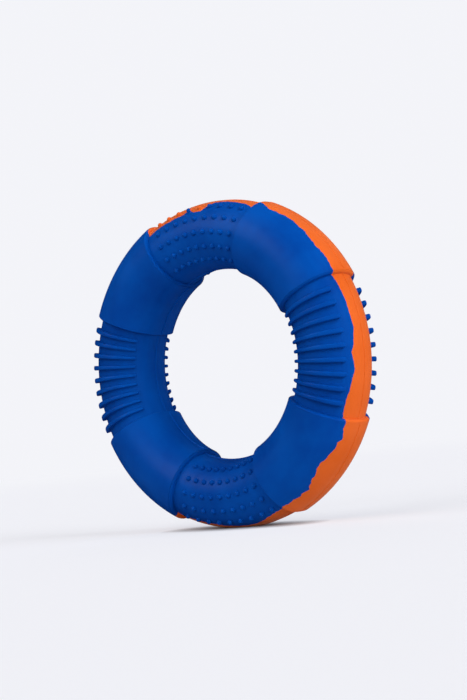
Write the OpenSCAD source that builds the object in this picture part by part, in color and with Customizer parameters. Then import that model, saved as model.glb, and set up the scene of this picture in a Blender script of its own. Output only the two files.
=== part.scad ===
// Rubber chew ring. A ring of eight sections stands on its rim: four smooth sleeves at the
// diagonals, ribbed grips left and right, and grips with rows of nubs at the top and bottom.
// It is moulded from two rubbers. An orange core comes out to the rim as a band between two
// blue shells, one for each half of the mould, and the shells meet round the hole.
//
// The ring's axis lies along Y, with its front towards -Y. +Z is up, and the origin is on the
// ground under the middle of the ring. Angles along the ring start at +X and turn towards +Z.

/* [Ring] */
// Radius of the ring's centre line
ring_r = 58; // [54:0.5:64]
// Depth of the flat that the ring stands on
foot_flat = 0.45; // [0.3:0.05:0.8]

/* [Grips] */
// Thickness of a ribbed or nubbed grip, from the hole to the rim
grip_depth = 30.2; // [28:0.2:32]
// Straight stretch in the middle of a grip's round section, at the rim and at the hole
grip_flat = 1.7; // [0.8:0.1:3]

/* [Sleeves] */
// Height that a smooth sleeve stands over the grips, at the rim and at the hole
sleeve_rise = 1.7; // [1.5:0.1:2.2]
// Straight stretch in the middle of a sleeve's section
sleeve_flat = 3.2; // [2:0.1:5]
// Angle that one sleeve covers along the ring
sleeve_span = 40.5; // [36:0.5:42]
// Rounding of a sleeve's two ends
sleeve_edge = 1.4; // [0.8:0.1:1.6]
// Number of fine steps that make up the rounding
sleeve_steps = 3; // [2:1:5]

/* [Ribs] */
// Number of ribs on one face of a ribbed grip
rib_count = 9; // [3:1:9]
// Distance from rib to rib along the ring's centre line
rib_pitch = 5; // [4.2:0.1:5]
// Thickness of a rib
rib_w = 1.8; // [1.2:0.1:2.2]
// Height of a rib at its middle
rib_h = 1.8; // [1.2:0.1:2.4]
// Angle that a rib covers round the grip
rib_arc = 99; // [80:1:102]

/* [Nubs] */
// Number of nubs in a row along the ring
nub_columns = 9; // [3:1:9]
// Number of rows of nubs on one face
nub_rows = 5; // [1:2:5]
// Distance from nub to nub along the ring's centre line
nub_pitch = 5; // [4.2:0.1:5]
// Distance from row to row round the grip
nub_row_pitch = 6.5; // [5:0.1:6.8]
// Angle of the first row, from the mould line at the rim
nub_first_angle = 39.7; // [38.5:0.1:42]
// Distance that the nub patterns sit off the middle of their grips
nub_shift = 1; // [0:0.1:1.5]
// Width of a nub at its foot
nub_d = 2.4; // [1.8:0.1:2.8]
// Height of a nub
nub_h = 1.3; // [0.8:0.1:1.4]

/* [Core and shells] */
// Thickness of the round inner core
core_d = 20; // [16:0.5:22]
// Distance from the centre line out to where the core spreads into the band
band_root = 4; // [2:0.5:6]
// Stretch at the middle of each sleeve where the band's edges run straight
edge_rest = 22; // [14:1:24]

/* [Mould line] */
// Width of the raised line that the mould leaves at the rim
seam_w = 0.9; // [0.6:0.1:1.4]
// Height of the raised line at the rim
seam_h = 0.25; // [0.1:0.05:0.4]
// Width of the lip where the shells meet round the hole
lip_w = 1.1; // [0.8:0.1:1.6]
// Height of the lip round the hole
lip_h = 0.5; // [0.2:0.05:0.7]

/* [Hidden] */

blue = [0.02, 0.22, 0.55];
orange = [0.87, 0.38, 0.12];

// Fineness of the drawn arcs
$fn = 96;
nub_fn = 24;

// Angle that a length takes up along the ring's centre line, or along an arc of radius r
function ring_angle(length) = arc_angle(length, ring_r);
function arc_angle(length, r) = 180 * length / (PI * r);

// Places of the sections along the ring
sleeve_places = [45, 135, 225, 315];
rib_places = [0, 180];
nub_places = [90 - ring_angle(nub_shift), 270 + ring_angle(nub_shift)];

// Overrun that makes pieces and cuts bite into their neighbours
bite = 1;

// Half sizes
grip_a = grip_depth / 2;
grip_b = grip_a + grip_flat / 2;
sleeve_a = grip_a + sleeve_rise;
sleeve_b = sleeve_a + sleeve_flat / 2;
rim_r = ring_r + grip_a;
reach_r = ring_r + sleeve_a + seam_h + bite;
centre_z = rim_r - foot_flat;

// Angle from the middle of a sleeve to the middle of the next, and how far apart across it
// these middles lie at the rim
quarter = 360 / len(sleeve_places);
rest_x = rim_r * sin(quarter / 2);

// Angle along the ring that a sleeve's rounding takes up
sleeve_edge_angle = ring_angle(sleeve_edge);

// Fine step from a rib's side to its rounded ends
rib_step = 0.05;

// The sphere that a nub is the cap of
nub_r = (nub_h * nub_h + nub_d * nub_d / 4) / (2 * nub_h);

// The band's edges, as [angle along the ring, share of a right angle round the grip's section],
// counted from the mould line. They step out and in where sections meet. Beside the nubs they
// run short of the first row, or between it and the second, so that each nub is of one colour.
front_edge_shares = [
    [60, 0.3], [63.5, 0.27], [64.5, 0.16], [65.5, 0.16], [66.2, 0.3], [72, 0.27], [81, 0.28],
    [85.9, 0.33], [87.2, 0.57], [98, 0.55], [106, 0.56], [114.6, 0.57], [115.6, 0.27], [120, 0.24],
    [150, 0.21], [157, 0.27], [165, 0.25], [180, 0.22], [192, 0.19], [203, 0.25], [210, 0.27],
    [240, 0.28], [246, 0.35], [250, 0.27], [256, 0.2], [272, 0.19], [281, 0.23], [287, 0.3],
    [291, 0.33], [294.4, 0.28], [295.4, 0.48], [300, 0.45],
    [330, 0.32], [334, 0.35], [342, 0.35], [349, 0.27], [353, 0.24], [357.5, 0.28], [365.5, 0.19],
    [371, 0.2], [378, 0.22], [384, 0.27], [390, 0.26]];
back_edge_shares = [
    [60, 0.3], [68, 0.33], [82, 0.3], [90, 0.26], [101, 0.29], [113, 0.22], [120, 0.25],
    [150, 0.3], [160, 0.34], [172, 0.27], [190, 0.23], [201, 0.32], [210, 0.3],
    [240, 0.25], [250, 0.22], [262, 0.2], [275, 0.2], [285, 0.28], [292, 0.33], [300, 0.38],
    [330, 0.41], [335, 0.35], [349, 0.33], [360, 0.35], [372, 0.32], [384, 0.34], [390, 0.36]];
// Their shares at the middles of the sleeves, in the order of sleeve_places
front_middle_shares = [0.28, 0.22, 0.27, 0.48];
back_middle_shares = [0.36, 0.28, 0.3, 0.42];

// Distance of a band's edge from the mould line, for its share of a right angle
function edge_y(share) = grip_b - grip_a + grip_a * sin(90 * share);

// A ring lies flat while it is made, with its front up: this stands it on the ground
module upright() {
    translate([0, 0, centre_z])
        rotate([90, 0, 0])
            children();
}

// Section of the ring: two half rounds on short straight sides, or only its front half
module section(a, b, half) {
    intersection() {
        union() {
            for (side = half ? [1] : [-1, 1])
                translate([0, side * (b - a)])
                    circle(r = a);
            translate([-a, half ? 0 : a - b])
                square([2 * a, (half ? 1 : 2) * (b - a)]);
        }
        translate([-a - bite, half ? 0 : -b - bite])
            square([2 * (a + bite), (half ? 1 : 2) * (b + bite)]);
    }
}

// Sweeps a section along part of the ring, centred on an angle
module sweep(middle, span) {
    rotate([0, 0, middle - span / 2])
        rotate_extrude(angle = span)
            translate([ring_r, 0])
                children();
}

// A sleeve. Its rounded ends are made of sweeps that grow longer as they get thinner.
module sleeve(middle, half) {
    for (step = [0 : sleeve_steps]) {
        turn = 90 * step / sleeve_steps;
        drop = sleeve_edge * (1 - cos(turn));
        sweep(middle, sleeve_span - 2 * sleeve_edge_angle * (1 - sin(turn)))
            section(sleeve_a - drop, sleeve_b - drop, half);
    }
}

// One rib on the front of a grip
module rib(angle) {
    root_r = grip_a - bite;
    crest_r = grip_a + rib_h - rib_w / 2;
    rotate([0, 0, angle])
        translate([ring_r, 0, grip_b - grip_a])
            rotate([90, 0, 0])
                rotate([0, 0, 90 - rib_arc / 2]) {
                    rotate_extrude(angle = rib_arc) {
                        translate([root_r, -rib_w / 2])
                            square([crest_r - root_r, rib_w]);
                        translate([crest_r, 0])
                            circle(d = rib_w);
                    }
                    for (end = [0, rib_arc])
                        rotate([0, 0, end])
                            rib_end(root_r, crest_r);
                }
}

// Rounded end of a rib: a post with a round head, a fine step thinner than the rib
module rib_end(root_r, crest_r) {
    post_r = rib_w / 2 - rib_step;
    translate([root_r, 0, 0])
        rotate([0, 90, 0])
            cylinder(r = post_r, h = crest_r - root_r);
    translate([crest_r, 0, 0])
        sphere(r = post_r);
}

// One nub on the front of a grip. Its row's angle is counted from the rim towards the hole.
module nub(angle, row_angle) {
    lift = grip_a + nub_h - nub_r;
    rotate([0, 0, angle])
        translate([ring_r + lift * cos(row_angle), 0, grip_b - grip_a + lift * sin(row_angle)])
            sphere(r = nub_r, $fn = nub_fn);
}

// The nubs of the front's rows from first to last, with row 0 nearest to the rim
module nubs(first, last) {
    for (place = nub_places, row = [first : last], column = [0 : nub_columns - 1])
        nub(place + (column - (nub_columns - 1) / 2) * ring_angle(nub_pitch),
            nub_first_angle + row * arc_angle(nub_row_pitch, grip_a));
}

module ribs() {
    for (place = rib_places, i = [0 : rib_count - 1])
        rib(place + (i - (rib_count - 1) / 2) * ring_angle(rib_pitch));
}

// The ring's smooth forms, or only their front half: the grips run on under the sleeves
module ring_form(half) {
    rotate_extrude()
        translate([ring_r, 0])
            section(grip_a, grip_b, half);
    for (place = sleeve_places)
        sleeve(place, half);
}

// Half of the lip round the hole, on the grips and on the sleeves
module half_lip() {
    rotate_extrude()
        translate([ring_r - grip_a - lip_h, 0])
            square([lip_h + bite, lip_w / 2]);
    for (place = sleeve_places)
        sweep(place, sleeve_span - 4 * sleeve_edge_angle)
            translate([-sleeve_a - lip_h, 0])
                square([lip_h + bite, lip_w / 2]);
}

// The raised mould line at the rim
module seam() {
    rotate_extrude()
        translate([rim_r - bite, -seam_w / 2])
            square([seam_h + bite, seam_w]);
    for (place = sleeve_places)
        sweep(place, sleeve_span - 4 * sleeve_edge_angle)
            translate([sleeve_a - bite, -seam_w / 2])
                square([seam_h + bite, seam_w]);
}

// One edge of the band, from the middle of sleeve i to the middle of the next, as points
// across that quarter. The quarter turns about the grip in its middle.
function quarter_edge(edge_shares, middle_shares, i, side) =
    let (start = sleeve_places[i],
         middle = start + quarter / 2,
         first_y = side * edge_y(middle_shares[i]),
         last_y = side * edge_y(middle_shares[(i + 1) % len(sleeve_places)]))
    concat([[-reach_r, first_y], [edge_rest / 2 - rest_x, first_y]],
           [for (point = edge_shares) if (point[0] > start && point[0] < start + quarter)
               [rim_r * sin(point[0] - middle), side * edge_y(point[1])]],
           [[rest_x - edge_rest / 2, last_y], [reach_r, last_y]]);

// Points of a list, last first
function turned(points) = [for (i = [len(points) - 1 : -1 : 0]) points[i]];

// A quarter of the band's space. Its edges are drawn across the quarter and pushed outwards.
module band_quarter(i) {
    intersection() {
        rotate([0, 0, sleeve_places[i] + quarter / 2])
            rotate([90, 0, 90])
                linear_extrude(reach_r)
                    polygon(concat(quarter_edge(front_edge_shares, front_middle_shares, i, 1),
                                   turned(quarter_edge(back_edge_shares, back_middle_shares, i, -1))));
        rotate([0, 0, sleeve_places[i]])
            translate([-bite, -bite, -sleeve_b])
                cube([reach_r + bite, reach_r + bite, 2 * sleeve_b]);
    }
}

// Space that the orange band takes at the rim: a tube whose front and back edges wander
module band_space() {
    difference() {
        intersection() {
            for (i = [0 : len(sleeve_places) - 1])
                band_quarter(i);
            cylinder(r = reach_r - bite / 2, h = 2 * sleeve_b, center = true);
        }
        cylinder(r = ring_r + band_root, h = 3 * sleeve_b, center = true);
    }
}

module core_space() {
    rotate_extrude()
        translate([ring_r, 0])
            circle(d = core_d);
}

// Everything below the ground
module under_ground() {
    translate([-rim_r, -rim_r, -rim_r])
        cube([2 * rim_r, 2 * rim_r, rim_r]);
}

// Orange: the round core, and the band that it shows at the rim
module core_ring() {
    color(orange)
        difference() {
            upright() {
                core_space();
                intersection() {
                    union() {
                        ring_form(false);
                        for (side = [0, 1])
                            mirror([0, 0, side])
                                nubs(0, 0);
                        seam();
                    }
                    band_space();
                }
            }
            under_ground();
        }
}

// Front half of the ring in full, less what the core takes
module half_shell() {
    ring_form(true);
    ribs();
    nubs(0, nub_rows - 1);
    half_lip();
}

module front_shell() {
    color(blue)
        difference() {
            upright()
                difference() {
                    half_shell();
                    core_space();
                    band_space();
                }
            under_ground();
        }
}

module back_shell() {
    color(blue)
        difference() {
            upright()
                difference() {
                    mirror([0, 0, 1])
                        half_shell();
                    core_space();
                    band_space();
                }
            under_ground();
        }
}

core_ring();
front_shell();
back_shell();
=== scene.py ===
# Rubber chew ring: two blue shells on an orange core that shows as a ragged band at the rim
import math

import bmesh
import bpy
from mathutils import Matrix, Vector, noise


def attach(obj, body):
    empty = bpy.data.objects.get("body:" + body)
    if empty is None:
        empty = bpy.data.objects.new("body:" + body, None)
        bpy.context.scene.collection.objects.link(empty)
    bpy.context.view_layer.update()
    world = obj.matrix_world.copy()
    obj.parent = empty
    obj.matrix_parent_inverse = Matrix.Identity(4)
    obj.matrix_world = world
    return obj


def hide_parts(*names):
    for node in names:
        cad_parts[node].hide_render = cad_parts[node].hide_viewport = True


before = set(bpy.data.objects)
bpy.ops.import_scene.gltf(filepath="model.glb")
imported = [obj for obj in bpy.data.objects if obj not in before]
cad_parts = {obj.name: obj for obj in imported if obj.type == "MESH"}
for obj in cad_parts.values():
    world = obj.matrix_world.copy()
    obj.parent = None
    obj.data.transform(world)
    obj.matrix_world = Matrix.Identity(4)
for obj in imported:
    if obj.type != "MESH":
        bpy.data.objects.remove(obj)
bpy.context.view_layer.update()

MM = 0.001

# Ring and its sections, as in the solids
RING_R = 58 * MM
FOOT_FLAT = 0.45 * MM
GRIP_DEPTH = 30.2 * MM
GRIP_WIDTH = 31.9 * MM
SLEEVE_DEPTH = 33.6 * MM
SLEEVE_WIDTH = 36.8 * MM
SLEEVE_SPAN = math.radians(40.5)
SLEEVE_EDGE = 1.4 * MM
SLEEVE_EDGE_CUTS = 6
SLEEVE_PLACES = [math.radians(a) for a in (45, 135, 225, 315)]
CENTRE = Vector((0, 0, RING_R + GRIP_DEPTH / 2 - FOOT_FLAT))

# Spins about these run from +X upwards, and from the rim over the front
SPIN_AXIS = (0, 1, 0)
RIB_SPIN_AXIS = (0, 0, 1)

# Ribs on the grips left and right
RIB_PLACES = [0, math.pi]
RIB_COUNT = 9
RIB_PITCH = 5 * MM / RING_R
RIB_W = 1.8 * MM
RIB_H = 1.8 * MM
RIB_EDGE = 0.55 * MM
RIB_ARC = math.radians(99)
RIB_LEAN = 0.45 * MM

# Nubs on the grips at the top and bottom
NUB_SHIFT = 1 * MM
NUB_PLACES = [math.pi / 2 - NUB_SHIFT / RING_R, 3 * math.pi / 2 + NUB_SHIFT / RING_R]
NUB_COLUMNS = 9
NUB_PITCH = 5 * MM / RING_R
NUB_ROWS = 5
NUB_ROW_PITCH = 6.5 * MM / (GRIP_DEPTH / 2)
NUB_FIRST = math.radians(39.7)
NUB_D = 2.4 * MM
NUB_H = 1.35 * MM

# Raised line where the shells meet round the hole, and the mould line on the rim
LIP_W = 1.1 * MM
LIP_H = 0.5 * MM
SEAM_W = 0.9 * MM
SEAM_H = 0.25 * MM

# Core inside, and the tube of space that its band takes
CORE_D = 20 * MM
BAND_ROOT = 4 * MM
BAND_STEPS = 1440

# Fineness of the meshes
SECTION_SIDES = 128
RING_STEPS = 360
SLEEVE_STEPS = 60
RIB_SIDES = 24
RIB_STEPS = 40
RIB_EDGE_CUTS = 4
NUB_SIDES = 20
LINE_SIDES = 12
FLOOR_SIDES = 96
SMOOTH_ANGLE = math.radians(55)

# How far joined forms reach into each other, how near vertices are one, and the cutting blocks
BITE = 1 * MM
MERGE = 0.01 * MM
BLOCK = 6 * RING_R

# Edge of the blue front along the ring: (degrees from +X upwards, mm from the mould line)
FRONT_EDGE = [
    (0, 6.6), (5.5, 5.3), (11.5, 5.5), (18, 5.8), (23.5, 6.8), (25.5, 7.4), (32, 7.1),
    (38.5, 8.0), (42.5, 6.8), (46, 7.1), (49, 6.5), (53.5, 7.4), (59, 8.3), (61.5, 7.4),
    (63.5, 6.5), (64.6, 6), (65.2, 6.2), (66, 8.5), (70.5, 7.1), (76.5, 6.8), (81.5, 7.1),
    (83.5, 7.5), (84.8, 9), (86.3, 11.2), (87.5, 12.3), (91, 12.2), (92.6, 11.2), (93.9, 10.6),
    (95.2, 10.9), (96.2, 11.9), (103, 12), (110, 12), (114.6, 12.4), (115.6, 7), (120, 6.4),
    (150, 6), (165, 7.2), (180, 6), (200, 5.6), (222, 7), (240, 7.5), (245, 9.5), (247.5, 8),
    (250, 8.8), (256, 9.3), (263, 9), (269, 7.4), (277, 6.1), (282, 6.3), (286, 7.6),
    (290.5, 8.7), (294.5, 7.6), (295.5, 11.4), (297.5, 11), (304, 10.2), (307.5, 9.6), (309, 10.6),
    (313.5, 11.3), (316, 12.2), (321.5, 10.8), (325, 8.9), (327, 9.4), (328.5, 7.7),
    (332.5, 8.9), (338.5, 8.8), (341.5, 8.8), (344.5, 7.9), (349, 7.1), (352, 6.3),
    (357.5, 7.4), (360, 6.6),
]
BACK_EDGE = [
    (0, 8.6), (22, 8.6), (25, 9), (40, 8.9), (55, 8.4), (75, 9), (90, 7.2), (110, 6.2),
    (130, 7.5), (150, 9), (172, 7.6), (190, 6.4), (215, 8.2), (240, 7), (262, 5.8),
    (275, 5.8), (285, 7), (293, 8.5), (300, 9.8), (320, 10), (340, 8.9), (360, 8.6),
]
# How ragged the edges are along the ring: (degrees, share)
RAGGED = [
    (0, 0.45), (20, 0.4), (28, 1.05), (58, 1.05), (68, 0.4), (112, 0.5), (125, 0.8), (155, 0.6),
    (200, 0.5), (240, 0.7), (285, 0.6), (297, 1), (330, 1), (345, 0.5), (360, 0.45),
]
# Height of the torn scallops and how sharply they dip, and (length, share) of each size of them
RAGGED_HEIGHT = 0.75 * MM
RAGGED_DIP = 2.6
RAGGED_WAVES = ((4.5 * MM, 0.55), (1.9 * MM, 0.3), (0.9 * MM, 0.15))
FRONT_SEED = 3
BACK_SEED = 11

# Tones of the rubber, its streaks along the ring, its bloom, gloss and grain
BLUE = (0.0006, 0.074, 0.39)
BLUE_DEEP = (0.0004, 0.048, 0.295)
ORANGE = (0.75, 0.135, 0.024)
ORANGE_DEEP = (0.68, 0.112, 0.014)
LILAC = (0.45, 0.42, 0.85)
PEACH = (1.0, 0.62, 0.42)
BLUE_STREAKS = 0.4
ORANGE_STREAKS = 0.6
STREAK_L = 20 * MM
STREAK_W = 1.8 * MM
BLUE_BLOOM = 0.006
ORANGE_BLOOM = 0.22
BLOOM_SPREAD = 0.35
GLOSS_LEVEL = 0.03
ROUGHNESS = 0.28
ROUGHNESS_SPREAD = 0.12
CLOUD_SCALE = 45
CLOUD_DETAIL = 4
CLOUD_ROUGHNESS = 0.55
CLOUD_RANGE = (0.32, 0.68)
NOISE_MIDDLE = 0.5
GRAIN_SCALE = 900
FINE_DETAIL = 3
GRAIN_STRENGTH = 0.05
GRAIN_DEPTH = 0.1 * MM

# Surroundings and floor
PALE = (0.9, 0.905, 0.945)
FLOOR_TONE = (0.885, 0.89, 0.94)
FLOOR_GLOW = 0.66
FLOOR_BOUNCE = (0.6, 0.6, 0.63)
# Reach of the painted contact shadow: the floor's glow darkens within this distance of the ring
PAINTED_SHADOW_REACH = 10 * MM

# The floor fades into the pale surroundings between these distances, in metres
FLOOR_NEAR = 0.5
FLOOR_FAR = 3
FLOOR_RADIUS = 12

# Soft lights: (degrees from +X towards +Y, degrees above the floor, strength)
LIGHTS = {
    "right_low": (0, 8, 1.4),
    "right": (0, 35, 1.4),
    "front_right_low": (324, 8, 0.57),
    "front": (270, 35, 0.8),
    "front_left": (225, 35, 0.4),
    "front_left_high": (240, 62, 0.37),
    "back_left": (135, 35, 0.23),
    "back_left_low": (144, 8, 0.22),
    "back_low": (108, 8, 0.45),
}
LIGHT_WIDTH = math.radians(34)
LAMP_AWAY = 500 * MM
AIR_LIGHT = 0.26
# The gloss on the rubber: the same measures for the one light that shows in it
GLOSS_LIGHT = (238, 34, 1.4)

# Camera, from the ring's middle: turned and tilted round it, rolled, with the ring's middle
# a little off the middle of the picture
CAMERA_TURN = math.radians(38.26)
CAMERA_TILT = math.radians(-3.83)
CAMERA_ROLL = math.radians(-5.69)
CAMERA_DISTANCE = 622.7 * MM
PICTURE_W = 467
PICTURE_H = 700
FOCAL_PIXELS = 1391.4
MIDDLE_PIXEL = (227.45, 363.81)
SENSOR = 36
CLIP_START = 10 * MM


def deselect():
    """Leaves nothing selected."""
    bpy.ops.object.select_all(action="DESELECT")


def make_active(obj):
    """Selects one object alone."""
    deselect()
    obj.select_set(True)
    bpy.context.view_layer.objects.active = obj


def settle(obj):
    """Puts an object's place, turn and scale into its mesh."""
    make_active(obj)
    bpy.ops.object.transform_apply(location=True, rotation=True, scale=True)


def pick(obj, test):
    """Selects the vertices of a mesh in edit mode whose places pass a test."""
    bpy.ops.mesh.select_mode(type="VERT")
    bpy.ops.mesh.select_all(action="DESELECT")
    form = bmesh.from_edit_mesh(obj.data)
    for vert in form.verts:
        vert.select = test(vert.co)
    form.select_flush_mode()
    bmesh.update_edit_mesh(obj.data)


def recalculate(obj):
    """Turns all faces outwards."""
    make_active(obj)
    bpy.ops.object.mode_set(mode="EDIT")
    bpy.ops.mesh.select_all(action="SELECT")
    bpy.ops.mesh.normals_make_consistent(inside=False)
    if bmesh.from_edit_mesh(obj.data).calc_volume(signed=True) < 0:
        bpy.ops.mesh.flip_normals()
    bpy.ops.object.mode_set(mode="OBJECT")


def section_outline(name, radius, half_width, fill):
    """The outline of a section at angle 0: a round, drawn out to its half width."""
    deselect()
    bpy.ops.mesh.primitive_circle_add(
        vertices=SECTION_SIDES, radius=radius, fill_type=fill, location=(RING_R, 0, CENTRE.z))
    obj = bpy.context.object
    obj.name = name
    settle(obj)
    bpy.ops.object.mode_set(mode="EDIT")
    for side in (-1, 1):
        pick(obj, lambda place: place.y * side > MERGE)
        bpy.ops.transform.translate(value=(0, side * (half_width - radius), 0))
    bpy.ops.mesh.select_all(action="SELECT")
    return obj


def swept_grips():
    """The ring's plain section, all the way round."""
    obj = section_outline("grips", GRIP_DEPTH / 2, GRIP_WIDTH / 2, "NOTHING")
    bpy.ops.mesh.spin(steps=RING_STEPS, angle=2 * math.pi, center=CENTRE, axis=SPIN_AXIS)
    bpy.ops.mesh.select_all(action="SELECT")
    bpy.ops.mesh.remove_doubles(threshold=MERGE)
    bpy.ops.object.mode_set(mode="OBJECT")
    recalculate(obj)
    return obj


def ring_angle(place):
    """Angle of a place round the ring's axis, from +X upwards."""
    return math.atan2(place.z - CENTRE.z, place.x)


def swept_sleeve():
    """A sleeve from angle 0 on, with both ends rounded off."""
    obj = section_outline("sleeve", SLEEVE_DEPTH / 2, SLEEVE_WIDTH / 2, "NGON")
    bpy.ops.mesh.spin(steps=SLEEVE_STEPS, angle=SLEEVE_SPAN, center=CENTRE, axis=SPIN_AXIS)
    near = SLEEVE_SPAN / SLEEVE_STEPS / 2

    def at_end(place):
        angle = ring_angle(place)
        return min(abs(angle), abs(angle - SLEEVE_SPAN)) < near

    pick(obj, at_end)
    bpy.ops.mesh.bevel(offset=SLEEVE_EDGE, segments=SLEEVE_EDGE_CUTS, affect="EDGES")
    bpy.ops.object.mode_set(mode="OBJECT")
    recalculate(obj)
    return obj


def round_ring(angle):
    """Turns a mesh round the ring's axis, from +X upwards."""
    return (Matrix.Translation(CENTRE) @ Matrix.Rotation(-angle, 4, "Y")
            @ Matrix.Translation(-CENTRE))


def copy_at(obj, matrix, name):
    """A copy with its own mesh, moved by a matrix."""
    copy = obj.copy()
    copy.data = obj.data.copy()
    copy.name = name
    bpy.context.scene.collection.objects.link(copy)
    copy.data.transform(matrix)
    if matrix.determinant() < 0:
        copy.data.flip_normals()
    return copy


def join(pieces, name):
    """Joins pieces into one object."""
    deselect()
    for piece in pieces:
        piece.select_set(True)
    bpy.context.view_layer.objects.active = pieces[0]
    bpy.ops.object.join()
    pieces[0].name = name
    return pieces[0]


def grip_middle():
    """Middle of a grip's round on the front, at angle 0."""
    return Vector((RING_R, (GRIP_DEPTH - GRIP_WIDTH) / 2, CENTRE.z))


def rib():
    """One rib at angle 0, round the front of its grip, with a round post at both ends."""
    root = GRIP_DEPTH / 2 - BITE
    crest = GRIP_DEPTH / 2 + RIB_H
    middle = grip_middle()
    place = middle + Vector(((root + crest) / 2, 0, 0))
    first = (math.pi - RIB_ARC) / 2

    def at_crest(spot):
        return spot.x > middle.x + crest - RIB_EDGE / 2

    deselect()
    bpy.ops.mesh.primitive_plane_add(size=1, rotation=(math.pi / 2, 0, 0), location=place)
    whole = bpy.context.object
    whole.name = "rib"
    whole.scale = (crest - root, RIB_W, 1)
    settle(whole)
    bpy.ops.object.mode_set(mode="EDIT")
    pick(whole, at_crest)
    bpy.ops.mesh.bevel(offset=RIB_EDGE, segments=RIB_EDGE_CUTS, affect="VERTICES")
    bpy.ops.object.mode_set(mode="OBJECT")
    whole.data.transform(turn_section(middle, first))
    bpy.ops.object.mode_set(mode="EDIT")
    bpy.ops.mesh.select_all(action="SELECT")
    bpy.ops.mesh.spin(steps=RIB_STEPS, angle=RIB_ARC, center=middle, axis=RIB_SPIN_AXIS)
    bpy.ops.object.mode_set(mode="OBJECT")
    recalculate(whole)
    for angle in (first, first + RIB_ARC):
        bpy.ops.mesh.primitive_cylinder_add(
            vertices=RIB_SIDES, radius=RIB_W / 2, depth=crest - root, location=place,
            rotation=(0, math.pi / 2, 0))
        post = bpy.context.object
        settle(post)
        bpy.ops.object.mode_set(mode="EDIT")
        pick(post, at_crest)
        bpy.ops.mesh.bevel(offset=RIB_EDGE, segments=RIB_EDGE_CUTS, affect="EDGES")
        bpy.ops.object.mode_set(mode="OBJECT")
        post.data.transform(turn_section(middle, angle))
        cut(whole, "UNION", post)
        bpy.data.objects.remove(post)
    whole.data.transform(Matrix.Translation((RIB_LEAN, 0, 0)))
    for vert in whole.data.vertices:
        vert.co.z = CENTRE.z + (vert.co.z - CENTRE.z) * vert.co.x / RING_R
    return whole


def turn_section(middle, angle):
    """Turns a mesh at angle 0 round its grip, from the rim over the front towards the hole."""
    return (Matrix.Translation(middle) @ Matrix.Rotation(-angle, 4, "Z")
            @ Matrix.Translation(-middle))


def nub():
    """One nub on the rim at angle 0."""
    middle = grip_middle()
    deselect()
    bpy.ops.mesh.primitive_uv_sphere_add(
        segments=NUB_SIDES, ring_count=NUB_SIDES // 2, radius=NUB_D / 2,
        location=middle + Vector((GRIP_DEPTH / 2, 0, 0)), rotation=(0, math.pi / 2, 0))
    obj = bpy.context.object
    obj.name = "nub"
    settle(obj)
    bpy.ops.object.mode_set(mode="EDIT")
    pick(obj, lambda place: place.x > middle.x + GRIP_DEPTH / 2 - MERGE)
    bpy.ops.transform.resize(
        value=(2 * NUB_H / NUB_D, 1, 1),
        center_override=middle + Vector((GRIP_DEPTH / 2, 0, 0)))
    bpy.ops.object.mode_set(mode="OBJECT")
    return obj


def row_of(obj, place, count, pitch, turns=(0,)):
    """Copies along a grip, evenly spaced about its middle, at each of the turns round it."""
    copies = []
    for step in range(count):
        along = round_ring(place + (step - (count - 1) / 2) * pitch)
        for turn in turns:
            copies.append(copy_at(obj, along @ turn_section(grip_middle(), turn), obj.name))
    return copies


def raised_line(radius, width, height, angle, span=2 * math.pi):
    """A fine round-topped line along the ring, whose middle lies at a radius."""
    closed = span == 2 * math.pi
    deselect()
    bpy.ops.mesh.primitive_circle_add(
        vertices=LINE_SIDES, radius=1, fill_type="NOTHING" if closed else "NGON",
        location=(radius, 0, CENTRE.z))
    obj = bpy.context.object
    obj.scale = (height, width / 2, 1)
    settle(obj)
    obj.data.transform(round_ring(angle - span / 2))
    steps = round(RING_STEPS * span / (2 * math.pi))
    bpy.ops.object.mode_set(mode="EDIT")
    bpy.ops.mesh.select_all(action="SELECT")
    bpy.ops.mesh.spin(steps=steps, angle=span, center=CENTRE, axis=SPIN_AXIS)
    bpy.ops.mesh.select_all(action="SELECT")
    bpy.ops.mesh.remove_doubles(threshold=MERGE)
    bpy.ops.object.mode_set(mode="OBJECT")
    recalculate(obj)
    return obj


def raised_lines():
    """The lip round the hole and the mould line round the rim, on grips and sleeves."""
    span = SLEEVE_SPAN - 2 * SLEEVE_EDGE / RING_R
    lines = []
    for side, width, height in ((-1, LIP_W, LIP_H), (1, SEAM_W, SEAM_H)):
        lines.append(raised_line(RING_R + side * GRIP_DEPTH / 2, width, height, 0))
        for place in SLEEVE_PLACES:
            lines.append(raised_line(
                RING_R + side * SLEEVE_DEPTH / 2, width, height, place, span))
    return join(lines, "raised_lines")


def block(place):
    """A block larger than the ring, with its middle at a place."""
    deselect()
    bpy.ops.mesh.primitive_cube_add(size=BLOCK, location=place)
    obj = bpy.context.object
    settle(obj)
    return obj


def both_sides(pieces):
    """Pieces on the front, with mirrored copies on the back."""
    mirror = Matrix.Scale(-1, 4, SPIN_AXIS)
    return pieces + [copy_at(piece, mirror, piece.name) for piece in pieces]


def moulding():
    """The whole outside of the ring as one body."""
    body = swept_grips()
    one_sleeve = swept_sleeve()
    one_rib = rib()
    one_nub = nub()
    sleeves = [copy_at(one_sleeve, round_ring(place - SLEEVE_SPAN / 2), "sleeve")
               for place in SLEEVE_PLACES]
    ribs = []
    for place in RIB_PLACES:
        ribs += row_of(one_rib, place, RIB_COUNT, RIB_PITCH)
    nubs = []
    rows = [NUB_FIRST + row * NUB_ROW_PITCH for row in range(NUB_ROWS)]
    for place in NUB_PLACES:
        nubs += row_of(one_nub, place, NUB_COLUMNS, NUB_PITCH, rows)
    for spare in (one_sleeve, one_rib, one_nub):
        bpy.data.objects.remove(spare)
    for added in (join(sleeves, "sleeves"), join(both_sides(ribs), "ribs"),
                  join(both_sides(nubs), "nubs"), raised_lines()):
        cut(body, "UNION", added)
        bpy.data.objects.remove(added)
    ground = block((0, 0, -BLOCK / 2))
    cut(body, "DIFFERENCE", ground)
    bpy.data.objects.remove(ground)
    return body


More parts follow.
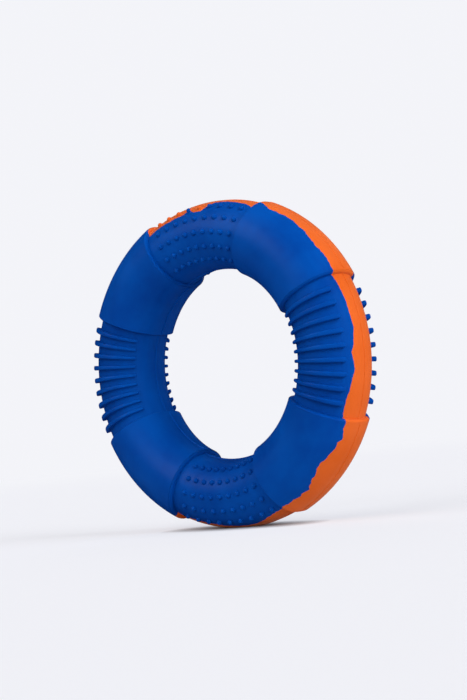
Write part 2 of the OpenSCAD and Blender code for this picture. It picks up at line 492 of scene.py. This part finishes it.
def along_line(points, angle):
    """Value at an angle in degrees, along straight lines between points."""
    angle %= 360
    for (a, low), (b, high) in zip(points, points[1:]):
        if a <= angle <= b:
            return low + (high - low) * (angle - a) / (b - a)
    return points[-1][1]


def ragged(angle, seed):
    """Torn scallops: waves of noise with sharp valleys, along the rim."""
    total = 0
    for length, share in RAGGED_WAVES:
        radius = RING_R / length
        spot = Vector((radius * math.cos(angle), radius * math.sin(angle), seed + length / MM))
        total += share * (1 - RAGGED_DIP * abs(noise.noise(spot)))
    return total * RAGGED_HEIGHT * along_line(RAGGED, math.degrees(angle))


def band_edge(points, angle, seed):
    """Distance of a torn edge from the mould line."""
    smooth = along_line(points, math.degrees(angle)) * MM
    return smooth + ragged(angle, seed) - RAGGED_HEIGHT / 3


def band_space():
    """Closed tube of the space that the orange band takes, with both edges ragged."""
    inner = RING_R + BAND_ROOT
    outer = RING_R + SLEEVE_DEPTH / 2 + 3 * BITE
    deselect()
    bpy.ops.mesh.primitive_plane_add(size=1, location=((inner + outer) / 2, 0, CENTRE.z))
    obj = bpy.context.object
    obj.name = "band_space"
    obj.scale = (outer - inner, BITE, 1)
    settle(obj)
    bpy.ops.object.mode_set(mode="EDIT")
    bpy.ops.mesh.select_all(action="SELECT")
    bpy.ops.mesh.delete(type="ONLY_FACE")
    bpy.ops.mesh.select_all(action="SELECT")
    bpy.ops.mesh.spin(steps=BAND_STEPS, angle=2 * math.pi, center=CENTRE, axis=SPIN_AXIS)
    bpy.ops.mesh.select_all(action="SELECT")
    bpy.ops.mesh.remove_doubles(threshold=MERGE)
    bpy.ops.object.mode_set(mode="OBJECT")
    for vert in obj.data.vertices:
        angle = ring_angle(vert.co)
        if vert.co.y < 0:
            vert.co.y = -band_edge(FRONT_EDGE, angle, FRONT_SEED)
        else:
            vert.co.y = band_edge(BACK_EDGE, angle, BACK_SEED)
    recalculate(obj)
    return obj


def round_core():
    """The round ring of the core, inside the whole toy."""
    deselect()
    bpy.ops.mesh.primitive_torus_add(
        major_segments=RING_STEPS // 2, minor_segments=SECTION_SIDES // 2,
        major_radius=RING_R, minor_radius=CORE_D / 2, location=CENTRE,
        rotation=(math.pi / 2, 0, 0))
    obj = bpy.context.object
    obj.name = "round_core"
    settle(obj)
    return obj


def cut(obj, operation, tool):
    """Joins, cuts or trims one object with another."""
    make_active(obj)
    modifier = obj.modifiers.new("cut", "BOOLEAN")
    modifier.operation = operation
    modifier.solver = "MANIFOLD"
    modifier.object = tool
    bpy.ops.object.modifier_apply(modifier=modifier.name)


def split(body):
    """Parts the moulding into the orange core and the two blue shells."""
    band = band_space()
    core = round_core()
    halves = {"front": block((0, -BLOCK / 2, 0)), "back": block((0, BLOCK / 2, 0))}
    pieces = {"core": copy_at(body, Matrix.Identity(4), "core")}
    cut(pieces["core"], "INTERSECT", band)
    cut(pieces["core"], "UNION", core)
    for name, half in halves.items():
        pieces[name] = copy_at(body, Matrix.Identity(4), name)
        cut(pieces[name], "INTERSECT", half)
        cut(pieces[name], "DIFFERENCE", band)
        cut(pieces[name], "DIFFERENCE", core)
    for spare in (body, band, core, *halves.values()):
        bpy.data.objects.remove(spare)
    return pieces


def finish_piece(obj, name, node, material):
    """Names a piece, gives it its rubber and lets it stand for its solid."""
    obj.name = name
    obj.data.materials.clear()
    obj.data.materials.append(material)
    make_active(obj)
    bpy.ops.object.shade_smooth_by_angle(angle=SMOOTH_ANGLE)
    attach(obj, "root")
    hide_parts(node)


def along_ring(group, place):
    """Places stretched out along the ring, for streaks that run round it."""
    nodes = group.nodes
    links = group.links

    def step(operation, source, values=None):
        node = nodes.new("ShaderNodeVectorMath")
        node.operation = operation
        links.new(source, node.inputs[0])
        if values is not None:
            node.inputs[1].default_value = values
        return node.outputs["Vector"]

    from_middle = step("SUBTRACT", place, CENTRE)
    turn = step("NORMALIZE", step("MULTIPLY", from_middle, (1, 0, 1)))
    around = step("SCALE", turn)
    around.node.inputs["Scale"].default_value = RING_R / STREAK_L
    across = step("MULTIPLY", from_middle, (0, 1 / STREAK_W, 0))
    both = step("ADD", around)
    links.new(across, both.node.inputs[1])
    return both


def rubber_group():
    """Node group: the uneven tone, gloss and grain of moulded rubber, by place on the piece."""
    group = bpy.data.node_groups.new("rubber_tone", "ShaderNodeTree")
    face = group.interface
    face.new_socket("Tone", in_out="INPUT", socket_type="NodeSocketColor")
    face.new_socket("Deep tone", in_out="INPUT", socket_type="NodeSocketColor")
    for name, value in (("Cloud scale", CLOUD_SCALE), ("Grain scale", GRAIN_SCALE),
                        ("Gloss", ROUGHNESS), ("Gloss spread", ROUGHNESS_SPREAD)):
        face.new_socket(name, in_out="INPUT", socket_type="NodeSocketFloat").default_value = value
    face.new_socket("Streaks", in_out="INPUT", socket_type="NodeSocketFloat")
    face.new_socket("Color", in_out="OUTPUT", socket_type="NodeSocketColor")
    face.new_socket("Roughness", in_out="OUTPUT", socket_type="NodeSocketFloat")
    face.new_socket("Height", in_out="OUTPUT", socket_type="NodeSocketFloat")
    nodes = group.nodes
    links = group.links
    start = nodes.new("NodeGroupInput")
    end = nodes.new("NodeGroupOutput")
    place = nodes.new("ShaderNodeTexCoord")
    cloud = nodes.new("ShaderNodeTexNoise")
    cloud.inputs["Detail"].default_value = CLOUD_DETAIL
    cloud.inputs["Roughness"].default_value = CLOUD_ROUGHNESS
    grain = nodes.new("ShaderNodeTexNoise")
    grain.inputs["Detail"].default_value = FINE_DETAIL
    for node, scale in ((cloud, "Cloud scale"), (grain, "Grain scale")):
        links.new(place.outputs["Object"], node.inputs["Vector"])
        links.new(start.outputs[scale], node.inputs["Scale"])
    spread = nodes.new("ShaderNodeMapRange")
    spread.inputs["From Min"].default_value = CLOUD_RANGE[0]
    spread.inputs["From Max"].default_value = CLOUD_RANGE[1]
    links.new(cloud.outputs["Fac"], spread.inputs["Value"])
    streak = nodes.new("ShaderNodeTexNoise")
    streak.inputs["Scale"].default_value = 1
    streak.inputs["Detail"].default_value = FINE_DETAIL
    links.new(along_ring(group, place.outputs["Object"]), streak.inputs["Vector"])
    middled = nodes.new("ShaderNodeMath")
    middled.operation = "SUBTRACT"
    middled.inputs[1].default_value = NOISE_MIDDLE
    links.new(streak.outputs["Fac"], middled.inputs[0])
    blend = nodes.new("ShaderNodeMath")
    blend.operation = "MULTIPLY_ADD"
    blend.use_clamp = True
    links.new(middled.outputs["Value"], blend.inputs[0])
    links.new(start.outputs["Streaks"], blend.inputs[1])
    links.new(spread.outputs["Result"], blend.inputs[2])
    mix = nodes.new("ShaderNodeMix")
    mix.data_type = "RGBA"
    links.new(blend.outputs["Value"], mix.inputs["Factor"])
    links.new(start.outputs["Deep tone"], mix.inputs["A"])
    links.new(start.outputs["Tone"], mix.inputs["B"])
    links.new(mix.outputs["Result"], end.inputs["Color"])
    gloss = nodes.new("ShaderNodeMath")
    gloss.operation = "MULTIPLY_ADD"
    links.new(cloud.outputs["Fac"], gloss.inputs[0])
    links.new(start.outputs["Gloss spread"], gloss.inputs[1])
    links.new(start.outputs["Gloss"], gloss.inputs[2])
    links.new(gloss.outputs["Value"], end.inputs["Roughness"])
    links.new(grain.outputs["Fac"], end.inputs["Height"])
    return group


def rubber(name, group, tone, deep, streaks, sheen, bloom):
    """Satin moulded rubber, with a little bloom of a sheen colour."""
    material = bpy.data.materials.new(name)
    material.use_nodes = True
    nodes = material.node_tree.nodes
    links = material.node_tree.links
    shader = nodes["Principled BSDF"]
    tones = nodes.new("ShaderNodeGroup")
    tones.node_tree = group
    tones.inputs["Tone"].default_value = (*tone, 1)
    tones.inputs["Deep tone"].default_value = (*deep, 1)
    tones.inputs["Streaks"].default_value = streaks
    links.new(tones.outputs["Color"], shader.inputs["Base Color"])
    links.new(tones.outputs["Roughness"], shader.inputs["Roughness"])
    bump = nodes.new("ShaderNodeBump")
    bump.inputs["Strength"].default_value = GRAIN_STRENGTH
    bump.inputs["Distance"].default_value = GRAIN_DEPTH
    links.new(tones.outputs["Height"], bump.inputs["Height"])
    links.new(bump.outputs["Normal"], shader.inputs["Normal"])
    shader.inputs["Specular IOR Level"].default_value = GLOSS_LEVEL
    shader.inputs["Sheen Weight"].default_value = bloom
    shader.inputs["Sheen Roughness"].default_value = BLOOM_SPREAD
    shader.inputs["Sheen Tint"].default_value = (*sheen, 1)
    return material


def floor():
    """Pale floor that fades into the pale surroundings; its glow is darkened near the ring as a
    painted contact shadow.
    """
    deselect()
    bpy.ops.mesh.primitive_circle_add(
        vertices=FLOOR_SIDES, radius=FLOOR_RADIUS, fill_type="NGON")
    obj = bpy.context.object
    obj.name = "floor"
    material = bpy.data.materials.new("floor")
    material.use_nodes = True
    nodes = material.node_tree.nodes
    links = material.node_tree.links
    shader = nodes["Principled BSDF"]
    shader.inputs["Base Color"].default_value = (*FLOOR_TONE, 1)
    shader.inputs["Roughness"].default_value = 1
    shader.inputs["Specular IOR Level"].default_value = 0
    # Painted contact shadow: the glow's strength falls by occlusion where the ring is near
    painted_contact_shadow = nodes.new("ShaderNodeAmbientOcclusion")
    painted_contact_shadow.inputs["Distance"].default_value = PAINTED_SHADOW_REACH
    glow = nodes.new("ShaderNodeEmission")
    glow.inputs["Color"].default_value = (*FLOOR_TONE, 1)
    links.new(painted_contact_shadow.outputs["AO"], glow.inputs["Strength"])
    near = nodes.new("ShaderNodeMixShader")
    near.inputs["Fac"].default_value = FLOOR_GLOW
    links.new(shader.outputs["BSDF"], near.inputs[1])
    links.new(glow.outputs["Emission"], near.inputs[2])
    under = nodes.new("ShaderNodeBsdfDiffuse")
    under.inputs["Color"].default_value = (*FLOOR_BOUNCE, 1)
    path = nodes.new("ShaderNodeLightPath")
    seen = nodes.new("ShaderNodeMixShader")
    links.new(path.outputs["Is Camera Ray"], seen.inputs["Fac"])
    links.new(under.outputs["BSDF"], seen.inputs[1])
    links.new(near.outputs["Shader"], seen.inputs[2])
    place = nodes.new("ShaderNodeTexCoord")
    distance = nodes.new("ShaderNodeVectorMath")
    distance.operation = "LENGTH"
    links.new(place.outputs["Object"], distance.inputs[0])
    fade = nodes.new("ShaderNodeMapRange")
    fade.interpolation_type = "SMOOTHERSTEP"
    fade.inputs["From Min"].default_value = FLOOR_NEAR
    fade.inputs["From Max"].default_value = FLOOR_FAR
    links.new(distance.outputs["Value"], fade.inputs["Value"])
    away = nodes.new("ShaderNodeEmission")
    away.inputs["Color"].default_value = (*PALE, 1)
    mix = nodes.new("ShaderNodeMixShader")
    links.new(fade.outputs["Result"], mix.inputs["Fac"])
    links.new(seen.outputs["Shader"], mix.inputs[1])
    links.new(away.outputs["Emission"], mix.inputs[2])
    links.new(mix.outputs["Shader"], nodes["Material Output"].inputs["Surface"])
    obj.data.materials.append(material)
    obj.visible_glossy = False


def surroundings():
    """Even pale surroundings, which light the ring only a little."""
    world = bpy.data.worlds.new("studio")
    bpy.context.scene.world = world
    world.use_nodes = True
    nodes = world.node_tree.nodes
    links = world.node_tree.links
    nodes.clear()
    out = nodes.new("ShaderNodeOutputWorld")
    seen = nodes.new("ShaderNodeBackground")
    seen.inputs["Color"].default_value = (*PALE, 1)
    light = nodes.new("ShaderNodeBackground")
    light.inputs["Strength"].default_value = AIR_LIGHT
    dark = nodes.new("ShaderNodeBackground")
    dark.inputs["Strength"].default_value = 0
    path = nodes.new("ShaderNodeLightPath")
    dull = nodes.new("ShaderNodeMixShader")
    links.new(path.outputs["Is Glossy Ray"], dull.inputs["Fac"])
    links.new(light.outputs["Background"], dull.inputs[1])
    links.new(dark.outputs["Background"], dull.inputs[2])
    mix = nodes.new("ShaderNodeMixShader")
    links.new(path.outputs["Is Camera Ray"], mix.inputs["Fac"])
    links.new(dull.outputs["Shader"], mix.inputs[1])
    links.new(seen.outputs["Background"], mix.inputs[2])
    links.new(mix.outputs["Shader"], out.inputs["Surface"])


def soft_light(name, azimuth, elevation, strength):
    """Wide soft light from a direction round the ring."""
    flat = math.cos(math.radians(elevation))
    direction = Vector((flat * math.cos(math.radians(azimuth)),
                        flat * math.sin(math.radians(azimuth)),
                        math.sin(math.radians(elevation))))
    deselect()
    bpy.ops.object.light_add(type="SUN", location=CENTRE + LAMP_AWAY * direction)
    lamp = bpy.context.object
    lamp.name = name
    lamp.rotation_euler = direction.to_track_quat("Z", "Y").to_euler()
    lamp.data.energy = strength
    lamp.data.angle = LIGHT_WIDTH
    return lamp


def camera():
    """The camera at the picture's angle."""
    back = Vector((math.sin(CAMERA_TURN) * math.cos(CAMERA_TILT),
                   -math.cos(CAMERA_TURN) * math.cos(CAMERA_TILT), math.sin(CAMERA_TILT)))
    flat_right = Vector((math.cos(CAMERA_TURN), math.sin(CAMERA_TURN), 0))
    right = Matrix.Rotation(CAMERA_ROLL, 3, back) @ flat_right
    up = back.cross(right)
    pixel = CAMERA_DISTANCE / FOCAL_PIXELS
    place = (CENTRE + CAMERA_DISTANCE * back
             - (MIDDLE_PIXEL[0] - PICTURE_W / 2) * pixel * right
             + (MIDDLE_PIXEL[1] - PICTURE_H / 2) * pixel * up)
    data = bpy.data.cameras.new("camera")
    data.sensor_fit = "VERTICAL"
    data.sensor_height = SENSOR
    data.lens = FOCAL_PIXELS * SENSOR / PICTURE_H
    data.clip_start = CLIP_START
    obj = bpy.data.objects.new("camera", data)
    bpy.context.scene.collection.objects.link(obj)
    turn = Matrix((right, up, back)).transposed().to_4x4()
    obj.matrix_world = Matrix.Translation(place) @ turn
    bpy.context.scene.camera = obj


camera()
pieces = split(moulding())
tones = rubber_group()
blue = rubber("blue_rubber", tones, BLUE, BLUE_DEEP, BLUE_STREAKS, LILAC, BLUE_BLOOM)
orange = rubber(
    "orange_rubber", tones, ORANGE, ORANGE_DEEP, ORANGE_STREAKS, PEACH, ORANGE_BLOOM)
finish_piece(pieces["core"], "orange_core", "core_ring", orange)
finish_piece(pieces["front"], "front_blue_shell", "front_shell", blue)
finish_piece(pieces["back"], "back_blue_shell", "back_shell", blue)
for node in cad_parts.values():
    node.data.materials.clear()
    node.data.materials.append(orange if node.name == "core_ring" else blue)
floor()
surroundings()
for name, measures in LIGHTS.items():
    soft_light(name, *measures).visible_glossy = False
soft_light("gloss", *GLOSS_LIGHT).visible_diffuse = False
bpy.context.scene.view_settings.view_transform = "Standard"
